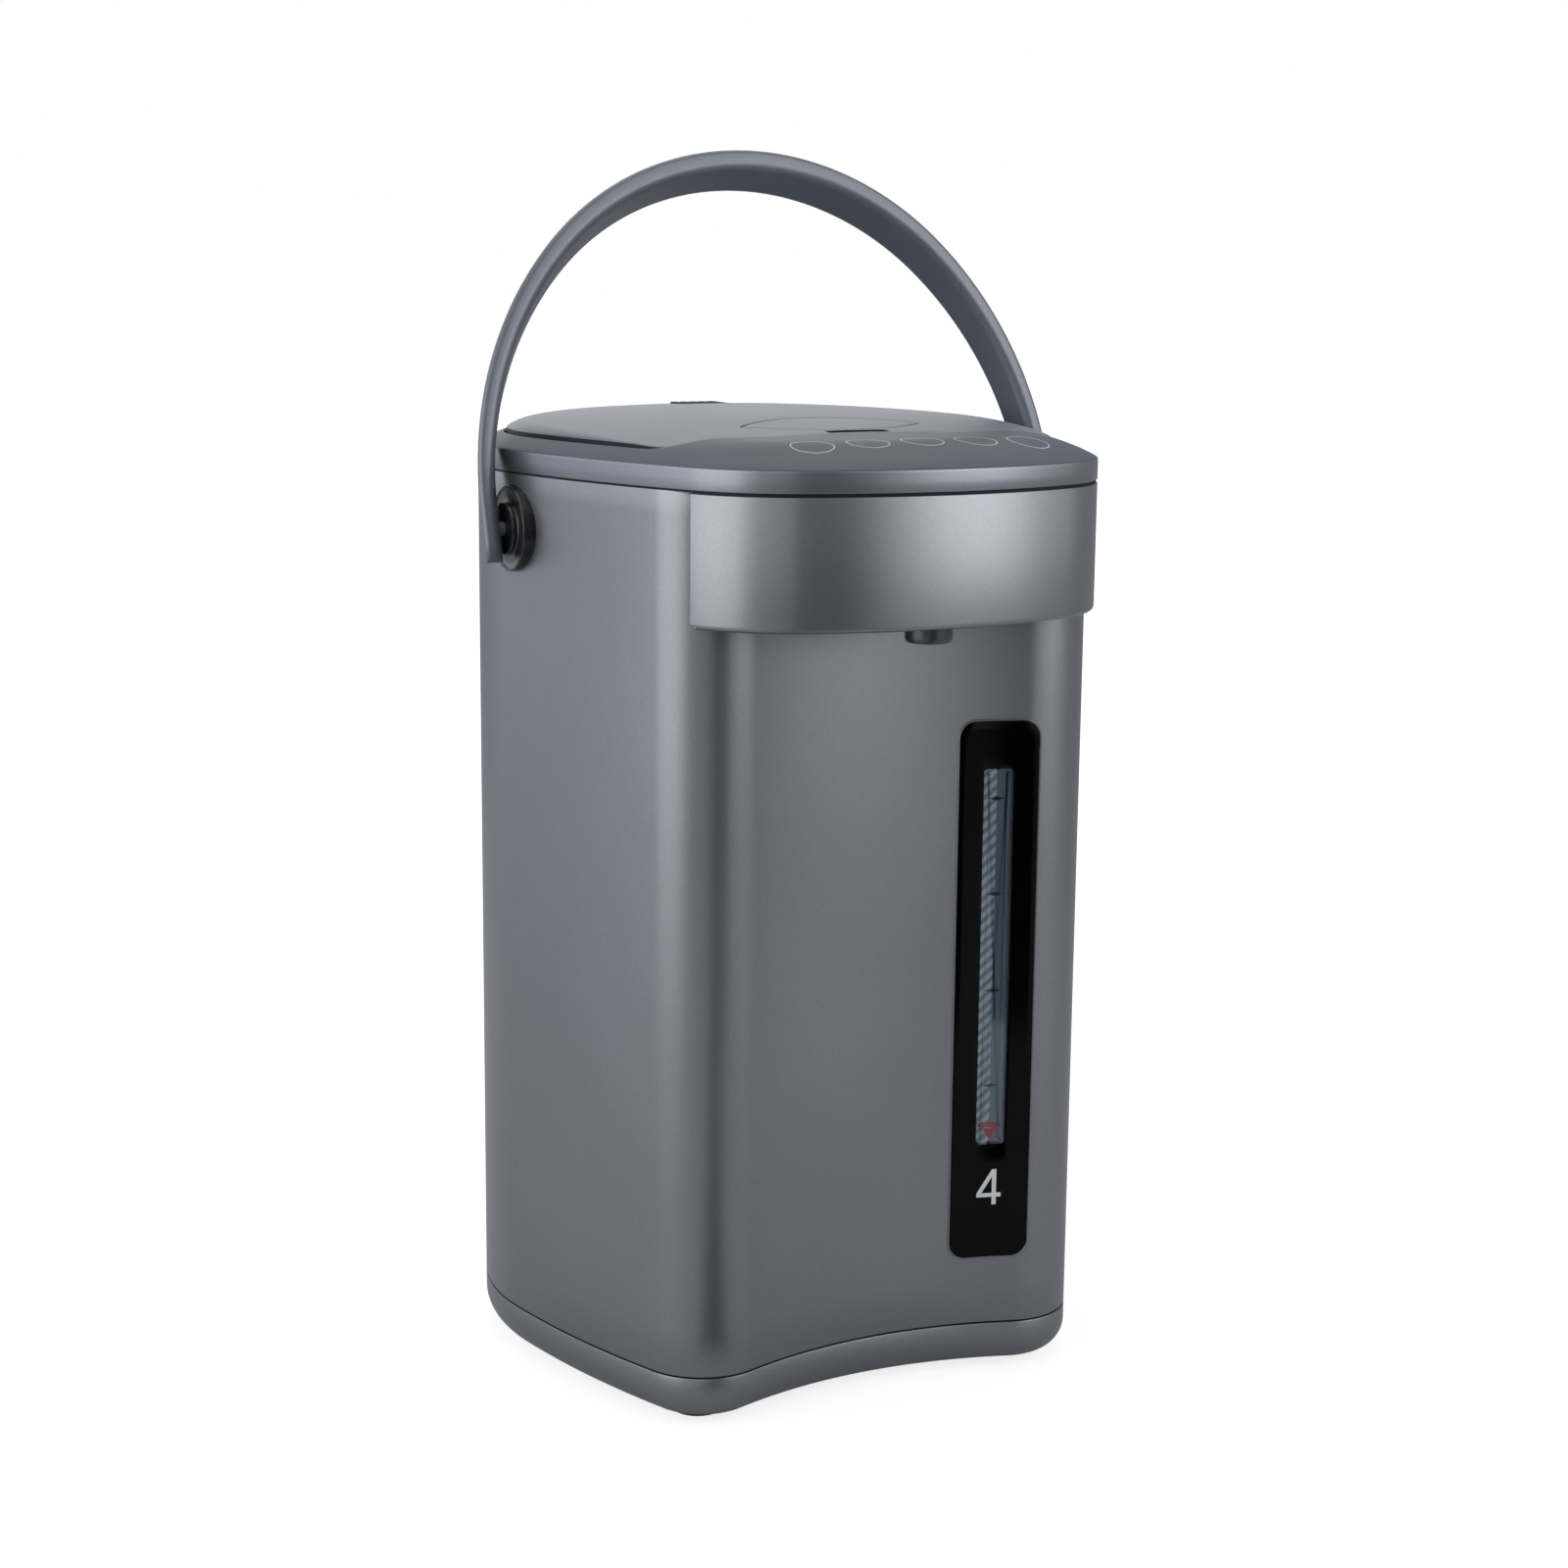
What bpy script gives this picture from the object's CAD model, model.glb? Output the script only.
# %% [markdown]
# An electric thermo pot: a tall painted steel body with a hollowed front, an overhanging
# head, a domed lid and a carrying handle. The solid model gives the frame, the bodies and
# the joints. This script gives each piece its finished surface and sets it in a small
# photo studio. Every length below is in millimetres and is scaled to metres once.

# %% Load the solid model
import math

import bmesh
import bpy
import numpy as np
from mathutils import Matrix


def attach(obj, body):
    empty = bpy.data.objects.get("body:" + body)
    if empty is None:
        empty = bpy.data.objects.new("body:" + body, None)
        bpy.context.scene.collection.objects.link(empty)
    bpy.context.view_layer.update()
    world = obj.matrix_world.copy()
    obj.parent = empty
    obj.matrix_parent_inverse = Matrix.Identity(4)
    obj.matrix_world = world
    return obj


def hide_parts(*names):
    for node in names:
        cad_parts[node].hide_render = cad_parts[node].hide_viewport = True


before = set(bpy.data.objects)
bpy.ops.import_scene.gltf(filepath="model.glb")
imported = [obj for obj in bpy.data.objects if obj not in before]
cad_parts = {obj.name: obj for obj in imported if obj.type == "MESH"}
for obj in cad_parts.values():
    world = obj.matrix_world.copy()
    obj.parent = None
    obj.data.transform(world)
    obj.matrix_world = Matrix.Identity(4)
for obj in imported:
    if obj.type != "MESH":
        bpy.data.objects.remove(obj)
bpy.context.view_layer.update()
MM = 0.001

# %% [markdown]
# The camera stands in front and a little to the left, slightly above the deck, and looks
# down by about 11 degrees. A long lens keeps the upright edges almost parallel. The
# direction comes from three angles, so each can be checked on its own.

# %% Camera
def set_camera(place, azimuth, fall, roll, lens):
    a, e, r = (math.radians(v) for v in (azimuth, fall, roll))
    forward = np.array([math.sin(a) * math.cos(e), math.cos(a) * math.cos(e), -math.sin(e)])
    right = np.cross(forward, [0, 0, 1])
    right /= np.linalg.norm(right)
    up = np.cross(right, forward)
    x_axis = math.cos(r) * right + math.sin(r) * up
    y_axis = math.cos(r) * up - math.sin(r) * right
    data = bpy.data.cameras.new("camera")
    data.lens, data.sensor_width = lens, 36
    data.clip_start, data.clip_end = 0.05, 50
    camera = bpy.data.objects.new("camera", data)
    bpy.context.scene.collection.objects.link(camera)
    rows = [[x_axis[i], y_axis[i], -forward[i], place[i] * MM] for i in range(3)]
    camera.matrix_world = Matrix(rows + [[0, 0, 0, 1]])
    bpy.context.scene.camera = camera


set_camera((-435.89, -848.73, 376.87), 27.175, 10.841, 0.563, 64.777)
print("camera at", [round(v, 3) for v in bpy.context.scene.camera.location])

# %% [markdown]
# Materials are built from nodes by one small function. It adds a node, sets its options
# and its inputs, and links an input when the value given is another node's socket. A
# colour ramp's stops are given as pairs of a place and a colour. Colours are written as
# sRGB hex values and turned to linear light in one place.

# %% Node and colour helpers
def linear(code):
    parts = [int(code[i:i + 2], 16) / 255 for i in (1, 3, 5)]
    return [v / 12.92 if v <= 0.04045 else ((v + 0.055) / 1.055) ** 2.4 for v in parts] + [1.0]


def add(tree, kind, inputs=None, stops=(), **options):
    made = tree.nodes.new("ShaderNode" + kind)
    for key, value in options.items():
        setattr(made, key, value)
    if stops:
        marks = made.color_ramp.elements
        marks[0].position, marks[1].position = 0, 1
        while len(marks) < len(stops):
            marks.new(0.5)
        for mark, (place, colour) in zip(marks, stops):
            mark.position, mark.color = place, linear(colour)
    for key, value in (inputs or {}).items():
        if isinstance(value, bpy.types.NodeSocket):
            tree.links.new(value, made.inputs[key])
        else:
            made.inputs[key].default_value = value
    return made


def new_material(name):
    made = bpy.data.materials.new(name)
    made.use_nodes = True
    tree = made.node_tree
    tree.nodes.clear()
    output = add(tree, "OutputMaterial")
    return made, tree, output


# %% [markdown]
# The studio: a pale floor, five soft boxes and three paper cards. Two boxes stand at the
# left, two in front towards the right, and one hangs above and behind. Satin metal paint
# shows mostly what it reflects, so the look comes from where these stand. The dark card
# fills the gap between the two brightest boxes. Cards are seen in reflections alone.

# %% World and floor
def build_world():
    world = bpy.data.worlds.new("studio")
    bpy.context.scene.world = world
    world.use_nodes = True
    tree = world.node_tree
    tree.nodes.clear()
    path = add(tree, "LightPath")
    seen = add(tree, "Math", {0: path.outputs["Is Camera Ray"], 1: path.outputs["Is Glossy Ray"]},
               operation="MAXIMUM")
    seen = add(tree, "Math", {0: seen.outputs[0], 1: path.outputs["Is Transmission Ray"]},
               operation="MAXIMUM")
    lit = add(tree, "Background", {"Color": linear("#f4f6fa"), "Strength": 0.5})
    white = add(tree, "Background", {"Color": (1, 1, 1, 1), "Strength": 1.0})
    mix = add(tree, "MixShader", {0: seen.outputs[0], 1: lit.outputs[0], 2: white.outputs[0]})
    add(tree, "OutputWorld", {"Surface": mix.outputs[0]})


def build_floor():
    mat, tree, output = new_material("studio_floor_paper")
    path = add(tree, "LightPath")
    grain = add(tree, "TexNoise", {"Scale": 40.0, "Detail": 3.0})
    tone = add(tree, "ValToRGB", {"Fac": grain.outputs["Fac"]},
               stops=[(0.3, "#cecfd2"), (0.7, "#d4d5d8")])
    plain = add(tree, "BsdfDiffuse", {"Color": tone.outputs[0]})
    paper = add(tree, "BsdfDiffuse", {"Color": linear("#9c9c9c")})
    place = add(tree, "TexCoord").outputs["Object"]
    away = add(tree, "VectorMath", {0: place}, operation="LENGTH")
    fade = add(tree, "MapRange", {"Value": away.outputs["Value"], "From Min": 0.15, "From Max": 0.6,
                                  "To Min": 0.8, "To Max": 1.0})
    glow = add(tree, "Emission", {"Color": (1, 1, 1, 1), "Strength": fade.outputs[0]})
    bright = add(tree, "AddShader", {0: paper.outputs[0], 1: glow.outputs[0]})
    mix = add(tree, "MixShader", {0: path.outputs["Is Camera Ray"], 1: plain.outputs[0],
                                  2: bright.outputs[0]})
    tree.links.new(mix.outputs[0], output.inputs["Surface"])
    data = bpy.data.meshes.new("floor")
    data.from_pydata([(-6, -6, 0), (6, -6, 0), (6, 6, 0), (-6, 6, 0)], [], [(0, 1, 2, 3)])
    data.materials.append(mat)
    floor = bpy.data.objects.new("floor", data)
    bpy.context.scene.collection.objects.link(floor)


bpy.context.scene.view_settings.view_transform = "Standard"
build_world()
build_floor()

# %% [markdown]
# Directions round the pot are given as an angle from straight in front, positive to the
# right. A helper places a lamp or a card on a circle round the pot and turns it to the
# middle; only the narrow third card lies flat on the floor. Lamps are hidden from the
# camera, so they never show when the view is moved.

# %% Lamps and cards
def facing(azimuth, distance, height, aim_height):
    a = math.radians(azimuth)
    place = np.array([math.sin(a) * distance, -math.cos(a) * distance, height])
    look = np.array([0, 0, aim_height]) - place
    look /= np.linalg.norm(look)
    side = np.cross(look, [0, 0, 1])
    side /= np.linalg.norm(side)
    up = np.cross(side, look)
    rows = [[side[i], up[i], -look[i], place[i]] for i in range(3)]
    return Matrix(rows + [[0, 0, 0, 1]])


def soft_box(name, azimuth, distance, height, size, radiance, colour="#ffffff", aim=0.2):
    data = bpy.data.lights.new(name, "AREA")
    data.shape = "RECTANGLE"
    data.size, data.size_y = size
    data.energy = radiance * math.pi * size[0] * size[1]
    data.color = linear(colour)[:3]
    lamp = bpy.data.objects.new(name, data)
    bpy.context.scene.collection.objects.link(lamp)
    lamp.matrix_world = facing(azimuth, distance, height, aim)
    lamp.visible_camera = False


def paper_card(name, matrix, size, colour):
    mat, tree, output = new_material(name + "_paper")
    paper = add(tree, "Emission", {"Color": linear(colour), "Strength": 1.0})
    tree.links.new(paper.outputs[0], output.inputs["Surface"])
    w, h = size[0] / 2, size[1] / 2
    data = bpy.data.meshes.new(name)
    data.from_pydata([(-w, -h, 0), (w, -h, 0), (w, h, 0), (-w, h, 0)], [], [(0, 1, 2, 3)])
    data.materials.append(mat)
    card = bpy.data.objects.new(name, data)
    bpy.context.scene.collection.objects.link(card)
    card.matrix_world = matrix
    card.visible_camera = card.visible_diffuse = card.visible_shadow = False
    card.visible_transmission = card.visible_volume_scatter = False


soft_box("box_left", -80, 0.85, 0.42, (0.75, 0.85), 2.0)
soft_box("box_left_rear", -128, 0.9, 0.35, (1.0, 0.8), 0.5, "#e6ecff")
soft_box("box_right_front", 36, 0.9, 0.62, (0.5, 0.85), 2.8, aim=0.45)
soft_box("box_front_fill", 14, 1.2, 0.5, (0.35, 0.9), 0.5)
soft_box("box_top", 170, 0.5, 1.5, (1.2, 1.0), 1.1, aim=0.3)
paper_card("card_front", facing(-7, 0.51, 0.45, 0.45), (0.21, 0.9), "#1c1d1f")
paper_card("card_right", facing(112, 1.5, 0.5, 0.5), (2.0, 1.3), "#a0a2a6")
flat_card = Matrix.Translation((-0.1, -0.32, 0.002)) @ Matrix.Rotation(math.radians(-10), 4, "Z")
paper_card("card_floor", flat_card, (0.07, 0.4), "#1c1d1f")

# %% [markdown]
# The outline of the pot in plan is a chain of arcs that meet without a kink: a round
# back, flatter sides, tight front corners and a hollow front. Keeping it as arcs lets
# every wall, seam and rim be drawn as the same chain, set in by some distance.

# %% Plan outlines
REAR_Y, BACK_R, BACK_HALF = 109.9, 101.2, 55.0
LID_INSET = 9.0
STEPS = (72, 32, 20, 28, 40, 28, 20, 32)


def unit(a):
    return np.array([math.cos(math.radians(a)), math.sin(math.radians(a))])


def chain(segments, p, heading):
    arcs = []
    for r, sweep in segments:
        centre = p + r * unit(heading + 90)
        arcs.append((centre, r, heading - 90, sweep))
        heading += sweep
        p = centre + r * unit(heading - 90)
    return arcs, p, heading


def outline(segments, inset=0.0):
    r = BACK_R - inset
    centre = np.array([0, REAR_Y - BACK_R])
    start = centre + r * unit(90 + BACK_HALF)
    left, end, heading = chain(segments, start, 180 + BACK_HALF)
    bend = heading - 360
    front_r = abs(end[0] / math.sin(math.radians(bend)))
    if bend > 0:
        front = (end + front_r * unit(heading - 90), -front_r, 90 - bend, 2 * bend)
    else:
        front = (end + front_r * unit(heading + 90), front_r, heading - 90, -2 * bend)
    right = [(np.array([-c[0], c[1]]), r_, 180 - a - s, s) for c, r_, a, s in reversed(left)]
    return [(centre, r, 90 - BACK_HALF, 2 * BACK_HALF), *left, front, *right]


def walk(arc, inset, count, last=False):
    centre, r, a, sweep = arc
    reach = abs(r) + (-inset if r > 0 else inset)
    part = np.arange(count + (1 if last else 0)) / count
    part = part if r > 0 else 1 - part
    return [centre + reach * unit(a + sweep * t) for t in part]


def ring(arcs, inset):
    return np.array([p for arc, n in zip(arcs, STEPS) for p in walk(arc, inset, n)])


def lift(points, z):
    points = np.asarray(points)
    return np.column_stack([points, np.broadcast_to(z, len(points))])


BODY = outline([(81.6, 43.4), (345, 12.3), (22.6, 88.9)])
HEAD = outline([(81.6, 43.4), (345, 14.8), (44.5, 47)])
RECESS = outline([(81.6 - LID_INSET, 43.4), (345 - LID_INSET, 10),
                  (12, 180 - BACK_HALF - 43.4 - 10 - 2)], LID_INSET)
print("plan size", np.ptp(ring(BODY, 0), axis=0).round(1), "points", len(ring(BODY, 0)))

# %% [markdown]
# Nearly every shell here is a stack of rings joined by quads. A ring can be closed, or
# run from one side to the other as the head cover does, and the stack can close on
# itself to give the wall its thickness. Edges get small rounds as extra rings, because
# a sharp edge catches no light and looks drawn.

# %% Mesh helpers
def grid(rings, loop=True, tube=True):
    n, rows = len(rings[0]), len(rings)
    faces = [(k * n + i, k * n + (i + 1) % n, (k + 1) % rows * n + (i + 1) % n,
              (k + 1) % rows * n + i)
             for k in range(rows if tube else rows - 1) for i in range(n if loop else n - 1)]
    if not tube and loop:
        faces += [tuple(range(n - 1, -1, -1)), tuple((rows - 1) * n + i for i in range(n))]
    if tube and not loop:
        faces += [tuple(k * n for k in range(rows)),
                  tuple(k * n + n - 1 for k in range(rows - 1, -1, -1))]
    return np.vstack(rings), faces


def join(*parts):
    verts, faces, offset = [], [], 0
    for v, f in parts:
        verts.append(np.asarray(v, float))
        faces += [tuple(i + offset for i in face) for face in f]
        offset += len(v)
    return np.vstack(verts), faces


def make(name, part, sharp=32.0):
    verts, faces = part
    data = bpy.data.meshes.new(name)
    data.from_pydata([tuple(v) for v in np.asarray(verts) * MM], [], faces)
    work = bmesh.new()
    work.from_mesh(data)
    bmesh.ops.remove_doubles(work, verts=work.verts, dist=2e-6)
    bmesh.ops.recalc_face_normals(work, faces=work.faces)
    work.to_mesh(data)
    work.free()
    data.shade_smooth()
    data.set_sharp_from_angle(angle=math.radians(sharp))
    made = bpy.data.objects.new(name, data)
    bpy.context.scene.collection.objects.link(made)
    return made


def rod(p0, p1, r, n=64):
    p0, p1 = np.array(p0, float), np.array(p1, float)
    axis = (p1 - p0) / np.linalg.norm(p1 - p0)
    side = np.cross(axis, [0, 0, 1] if abs(axis[2]) < 0.9 else [1, 0, 0])
    side /= np.linalg.norm(side)
    other = np.cross(axis, side)
    turn = [r * (math.cos(t) * side + math.sin(t) * other)
            for t in np.linspace(0, 2 * math.pi, n, endpoint=False)]
    return grid([[p0 + t for t in turn], [p1 + t for t in turn]], tube=False)


def block(low, high):
    (x0, y0, z0), (x1, y1, z1) = low, high
    base = [(x0, y0), (x1, y0), (x1, y1), (x0, y1)]
    return grid([lift(base, z0), lift(base, z1)], tube=False)


def cut(piece, *tools, operation="DIFFERENCE"):
    for tool in tools:
        cutter = make("cutter", tool)
        step = piece.modifiers.new("cut", "BOOLEAN")
        step.solver, step.operation, step.object = "EXACT", operation, cutter
        graph = bpy.context.evaluated_depsgraph_get()
        graph.update()
        data = bpy.data.meshes.new_from_object(piece.evaluated_get(graph))
        piece.modifiers.clear()
        piece.data = data
        bpy.data.objects.remove(cutter)
    return piece


def fit(piece, material, body, nodes, sharp=32.0):
    piece.data.materials.clear()
    piece.data.materials.append(material)
    piece.data.shade_smooth()
    piece.data.set_sharp_from_angle(angle=math.radians(sharp))
    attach(piece, body)
    if nodes:
        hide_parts(*nodes)
    print(f"{piece.name}: {len(piece.data.vertices)} points on {body}")
    return piece


# %% [markdown]
# Seams and gaps are only half a millimetre wide, and what shows in them is shadow or a
# black sealing lip. A helper gives the faces down in a gap their own black finish.

# %% Faces down in a gap
def second_finish(piece, material, chosen):
    piece.data.materials.append(material)
    count = 0
    for face in piece.data.polygons:
        if chosen(face.center / MM, face.normal):
            face.material_index = 1
            count += 1
    print(f"{piece.name}: {count} faces in {material.name}")


# %% [markdown]
# The body, base ring and head cover share one finish: satin metallic paint sprayed on
# steel and on moulded parts. Aluminium flakes in the lacquer make it behave like a soft
# metal mirror, and the spray leaves a faint orange peel. Real flakes are about 0.03 mm,
# too fine to show, so they are drawn at 0.5 mm and very faint.

# %% Satin metallic paint
def metallic_paint(name, dark, light, roughness=0.36, metallic=0.9):
    mat, tree, output = new_material(name)
    place = add(tree, "TexCoord").outputs["Object"]
    flakes = add(tree, "TexVoronoi", {"Vector": place, "Scale": 1 / 0.0005})
    cloud = add(tree, "TexNoise", {"Vector": place, "Scale": 1 / 0.06, "Detail": 2.0})
    mixed = add(tree, "Math", {0: flakes.outputs["Color"], 1: cloud.outputs["Fac"]},
                operation="ADD")
    half = add(tree, "Math", {0: mixed.outputs[0], 1: 0.5}, operation="MULTIPLY")
    tone = add(tree, "ValToRGB", {"Fac": half.outputs[0]}, stops=[(0.2, dark), (0.8, light)])
    satin = add(tree, "MapRange", {"Value": cloud.outputs["Fac"], "To Min": roughness - 0.02,
                                   "To Max": roughness + 0.02})
    peel = add(tree, "TexNoise", {"Vector": place, "Scale": 1 / 0.0025, "Detail": 1.0})
    bump = add(tree, "Bump", {"Height": peel.outputs["Fac"], "Strength": 0.05,
                              "Distance": 0.00005})
    shader = add(tree, "BsdfPrincipled", {"Base Color": tone.outputs[0], "Metallic": metallic,
                                          "Roughness": satin.outputs[0],
                                          "Normal": bump.outputs[0]})
    tree.links.new(shader.outputs[0], output.inputs["Surface"])
    return mat


BODY_PAINT = metallic_paint("satin_metallic_paint_sprayed", "#76787c", "#7e8085")
BAND_PAINT = metallic_paint("satin_metallic_paint_on_collar", "#75787e", "#7d8086", 0.37)

# %% [markdown]
# The lid, deck and handle are moulded ABS in a cool blue grey. The mould is spark eroded,
# which leaves an even fine grain of about 0.2 mm and a satin sheen that grows at a low
# angle. Small, dense noise in the bump gives that grain. It is drawn at 0.4 mm, because a
# finer one wouldn't show.

# %% Moulded plastics
def moulded_plastic(name, dark, light, roughness=0.4, metallic=0.0, grain=0.4, ior=1.54,
                    strength=0.12):
    mat, tree, output = new_material(name)
    place = add(tree, "TexCoord").outputs["Object"]
    cloud = add(tree, "TexNoise", {"Vector": place, "Scale": 1 / 0.03, "Detail": 3.0})
    tone = add(tree, "ValToRGB", {"Fac": cloud.outputs["Fac"]}, stops=[(0.3, dark), (0.7, light)])
    spark = add(tree, "TexNoise", {"Vector": place, "Scale": 1000 / grain, "Detail": 2.0})
    bump = add(tree, "Bump", {"Height": spark.outputs["Fac"], "Strength": strength,
                              "Distance": 0.00004})
    satin = add(tree, "MapRange", {"Value": spark.outputs["Fac"], "To Min": roughness - 0.03,
                                   "To Max": roughness + 0.03})
    shader = add(tree, "BsdfPrincipled", {"Base Color": tone.outputs[0], "Metallic": metallic,
                                          "IOR": ior, "Roughness": satin.outputs[0],
                                          "Normal": bump.outputs[0]})
    tree.links.new(shader.outputs[0], output.inputs["Surface"])
    return mat


DECK_ABS = moulded_plastic("abs_blue_grey_spark_eroded", "#414852", "#474f59", 0.42, ior=1.3)
LID_ABS = moulded_plastic("abs_lid_grey_spark_eroded", "#646c77", "#6b737e", 0.38, 0.35)
HANDLE_ABS = moulded_plastic("abs_handle_satin_moulded", "#5e626a", "#646971", 0.36, 0.35)
DISC_ABS = moulded_plastic("abs_black_satin_moulded", "#0b0c0e", "#101113", 0.28)
BLACK_ABS = moulded_plastic("abs_black_moulded", "#1b1c1e", "#212225", 0.45)
NOZZLE_ABS = moulded_plastic("abs_dark_grey_painted", "#3a3c40", "#424449", 0.3, 0.6)
WHITE_PP = moulded_plastic("polypropylene_white_moulded", "#d2d0ca", "#dcdad4", 0.45, 0.0, 0.6,
                           1.49)
LIP_BLACK = moulded_plastic("elastomer_black_lip_moulded", "#08080a", "#0d0d0f", 0.6, ior=1.3)
print("materials:", len(bpy.data.materials))

# %% [markdown]
# The body wrap is one sheet of painted steel bent round the plan, open above and below.
# It is drawn as a closed ribbon of rings with the sheet's thickness, and the holes for
# the gauge, the handle sockets and the power inlet are cut from it. A row of points above
# and below each hole keeps the shading of the long quads beside it smooth.

# %% Body wrap
HOLLOW, HOLLOW_R, GAUGE_A = BODY[4][0], abs(BODY[4][1]), 16.0
PIVOT_Y, PIVOT_Z, SOCKET_BORE_R = 6.8, 285.2, 10.15


def on_hollow(s, z, depth):
    a = 90 - GAUGE_A - math.degrees(s / HOLLOW_R)
    return [*(HOLLOW + (HOLLOW_R + depth) * unit(a)), z]


def rounded_loop(width, z0, z1, r, side_steps=10, end_steps=6):
    w = width / 2
    corners = [(w - r, z1 - r, 0), (-w + r, z1 - r, 90), (-w + r, z0 + r, 180),
               (w - r, z0 + r, 270)]
    bends = [[(x + r * math.cos(math.radians(a + t)), z + r * math.sin(math.radians(a + t)))
              for t in np.linspace(0, 90, 9)] for x, z, a in corners]
    loop = []
    for k, part in enumerate(bends):
        loop += part
        nxt, count = bends[(k + 1) % 4][0], end_steps if k % 2 == 0 else side_steps
        loop += [tuple(np.array(part[-1]) + (np.array(nxt) - part[-1]) * t)
                 for t in np.linspace(0, 1, count + 1)[1:-1]]
    return np.array(loop)


def hollow_ring(loop, depth):
    return np.array([on_hollow(s, z, depth) for s, z in loop])


def stack(arcs, path):
    return grid([lift(ring(arcs, inset), z) for inset, z in path])


WRAP_ROWS = (18.35, 33, 43, 57, 130, 223.3, 274.5, 296, 302.65)
wrap = make("body_wrap_skin", stack(BODY, [
    (0.35, 18), (0.1, 18.1), *[(0, z) for z in WRAP_ROWS], (0.1, 302.9), (0.35, 303),
    (1.2, 303), *[(1.2, z) for z in reversed(WRAP_ROWS)], (1.2, 18)]))
window_hole = rounded_loop(20.8, 44.5, 221.8, 2)
cut(wrap, grid([hollow_ring(window_hole, -5), hollow_ring(window_hole, 8)], tube=False),
    rod((-110, PIVOT_Y, PIVOT_Z), (110, PIVOT_Y, PIVOT_Z), SOCKET_BORE_R),
    block((-15, 98, 34), (15, 115, 56)))
fit(wrap, BODY_PAINT, "pot", ["body_wrap"])

# %% [markdown]
# The base ring is a moulding in the same paint. Its lower edge is a quarter round of
# 10 mm, and a notch of half a millimetre under the wrap makes the thin dark seam line.

# %% Base ring
lower_edge = [(10 - 10 * math.sin(math.radians(a)), 12 - 10 * math.cos(math.radians(a)))
              for a in range(0, 91, 6)]
base = make("base_ring_skin", stack(BODY, [
    (12, 2), *lower_edge, (0, 17.1), (0.12, 17.4), (0.4, 17.5), (0.5, 17.5), (0.5, 18), (1.35, 18),
    (1.35, 24), (3.85, 24), (3.85, 9), (5, 9), (5, 6), (15, 6), (15, 4), (12, 4)]))
fit(base, BODY_PAINT, "pot", ["base_ring"])
second_finish(base, LIP_BLACK, lambda c, n: 17.42 < c.z < 18.1)

# %% [markdown]
# The head cover is a curved apron that hangs over the place for the cup. Its wall runs
# along the head's own outline from one side seam to the other, a floor closes the gap
# down to the body, and a return behind each end hides the inside.

# %% Head cover
HEAD_Z, SEAM_Z, SPOUT_Y = 261.3, 303.0, -97.0


def front_strip(arcs, inset):
    points = walk(arcs[3], inset, 40) + walk(arcs[4], inset, 40) + walk(arcs[5], inset, 40, True)
    return np.array(points)


def even(points, count):
    steps = np.r_[0, np.cumsum(np.linalg.norm(np.diff(points, axis=0), axis=1))]
    where = np.linspace(0, steps[-1], count)
    return np.column_stack([np.interp(where, steps, points[:, k]) for k in (0, 1)])


COVER_Y = front_strip(HEAD, 0)[0][1]
cover_path = [(2.5, HEAD_Z), (1.5, HEAD_Z), (0.85, HEAD_Z + 0.15), (0.3, HEAD_Z + 0.6),
              (0.05, HEAD_Z + 1.2), (0, HEAD_Z + 1.8), (0, SEAM_Z - 0.9), (0.12, SEAM_Z - 0.6),
              (0.4, SEAM_Z - 0.5), (0.5, SEAM_Z - 0.5), (0.5, SEAM_Z), (2.5, SEAM_Z)]
cover_wall = grid([lift(front_strip(HEAD, i), z) for i, z in cover_path], loop=False)
body_front = front_strip(BODY, -0.2)
body_front = even(body_front[np.flatnonzero(body_front[:, 1] < COVER_Y)], 90)
head_front = even(front_strip(HEAD, 2.4), 90)
cover_floor = grid([lift(head_front, HEAD_Z + 0.02), lift(body_front, HEAD_Z + 0.02),
                    lift(body_front, HEAD_Z + 2.5), lift(head_front, HEAD_Z + 2.5)], loop=False)
returns = []
for s in (-1, 1):
    rear = [(s * 72.2, COVER_Y), (s * 63.3, COVER_Y), (s * 62.6, COVER_Y - 2),
            (s * 71.5, COVER_Y - 2)]
    returns.append(grid([lift(rear, HEAD_Z + 0.4), lift(rear, SEAM_Z - 0.5)], tube=False))
cover = make("head_cover_skin", join(cover_wall, cover_floor, *returns))
cut(cover, rod((0, SPOUT_Y, 255), (0, SPOUT_Y, 264.5), 7.7))
fit(cover, BODY_PAINT, "pot", ["head_cover"])
second_finish(cover, LIP_BLACK, lambda c, n: c.z > SEAM_Z - 0.55 or (abs(c.y - COVER_Y) < 0.01))

# %% [markdown]
# The collar closes the top of the body. Its band is upright, its shoulder rises in an arc
# that ends level with the deck, and the lid lies in a recess inside it. The height at any
# point depends only on how far in from the outline it lies, so one function gives the
# whole surface, keys and all.

# %% Top collar
BAND_Z, DECK_Z, FLOOR_Z, BEND_R = 310.4, 317.6, 308.0, 58.0
MOUTH_R, TANK_Y = 62, 20
SHOULDER_W = math.sqrt(2 * BEND_R * (DECK_Z - BAND_Z) - (DECK_Z - BAND_Z) ** 2)


def depth_inside(arcs, p):
    best = 999.0
    for centre, r, a, sweep in arcs:
        if r > 0:
            v = np.asarray(p) - centre
            turn = (math.degrees(math.atan2(v[1], v[0])) - a) % 360
            if turn <= sweep + 0.01 or turn > 359.99:
                best = min(best, r - math.hypot(*v))
    return best


def shoulder_z(inset):
    inset = min(max(inset, 0.0), SHOULDER_W)
    return DECK_Z - BEND_R + math.sqrt(BEND_R ** 2 - (SHOULDER_W - inset) ** 2)


def deck_z(p):
    return shoulder_z(depth_inside(HEAD, p))


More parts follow.
